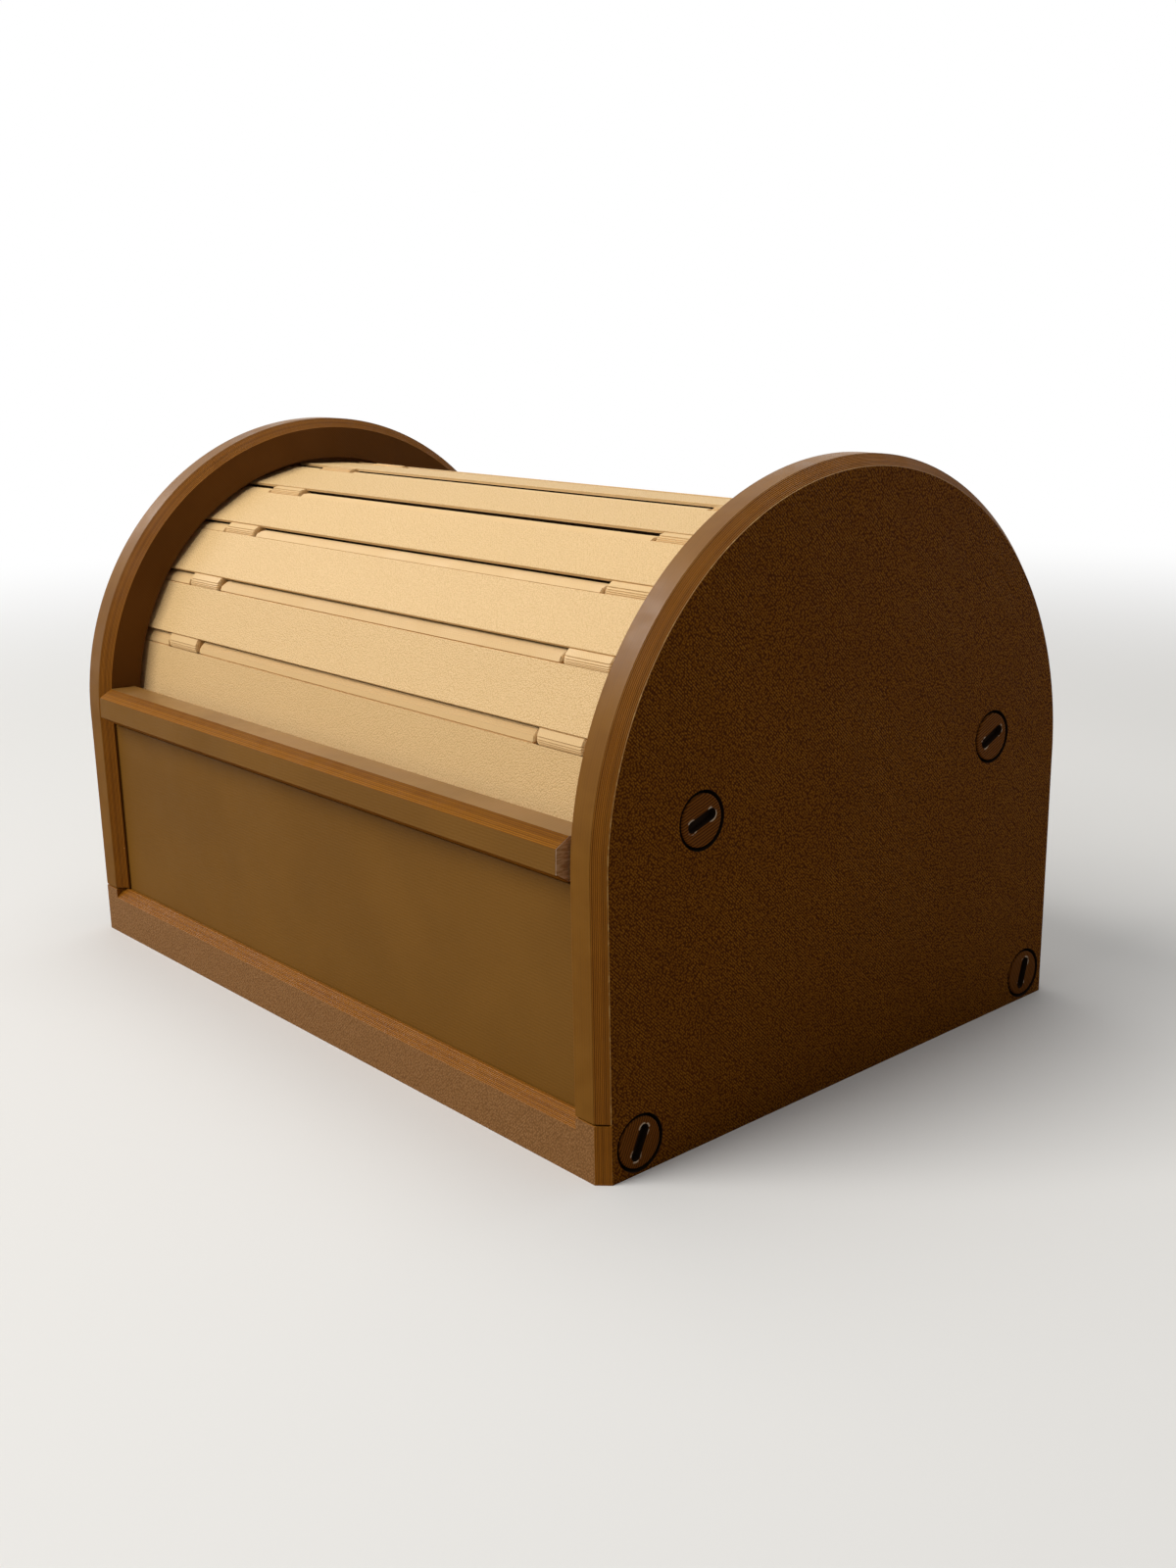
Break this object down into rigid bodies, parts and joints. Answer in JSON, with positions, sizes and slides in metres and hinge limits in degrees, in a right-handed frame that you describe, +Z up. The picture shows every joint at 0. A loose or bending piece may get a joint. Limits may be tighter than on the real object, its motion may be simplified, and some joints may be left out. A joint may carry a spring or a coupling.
{
  "type": "tambour lid box",
  "caption": "Small roll-top box with arched side panels and a curtain of hinged slats that slides open over the top on a curved track.",
  "frame": {"origin": "on the surface the box stands on, under the middle of the side panels", "axes": "X side to side, +Y to the back (the front panel and pull bar face -Y), +Z up"},
  "size_m": [0.168, 0.121, 0.11],
  "materials": {
    "case_plastic": "printed matte dark brown plastic with fine layer lines",
    "slat_plastic": "printed matte tan plastic with a fine grain",
    "inner_plastic": "printed matte dark brown plastic, inner pieces",
    "screw_plastic": "printed matte dark brown plastic, scuffed in the slots",
    "bar_plastic": "printed satin dark brown plastic, rubbed where it is handled"
  },
  "bodies": {
    "case": {"left_side_panel": "case_plastic", "right_side_panel": "case_plastic", "front_panel": "case_plastic", "back_panel": "case_plastic", "front_base_rail": "case_plastic", "rear_base_rail": "case_plastic", "floor_panel": "inner_plastic", "inner_front_wall": "inner_plastic", "inner_liner": "inner_plastic", "left_upper_screws": "screw_plastic", "left_lower_screws": "screw_plastic", "right_upper_screws": "screw_plastic", "right_lower_screws": "screw_plastic"},
    "curtain": {"pull_bar": "bar_plastic", "slat_01": "slat_plastic", "slat_02": "slat_plastic", "slat_03": "slat_plastic", "slat_04": "slat_plastic", "slat_05": "slat_plastic", "slat_06": "slat_plastic", "slat_07": "slat_plastic", "slat_08": "slat_plastic", "slat_09": "slat_plastic", "slat_10": "slat_plastic"}
  },
  "joints": [
    {"name": "curtain_run", "type": "hinge", "parent": "case", "child": "curtain", "pos_m": [0, 0, 0.05], "axis": [-1, 0, 0], "range_deg": [0, 83.5]}
  ]
}
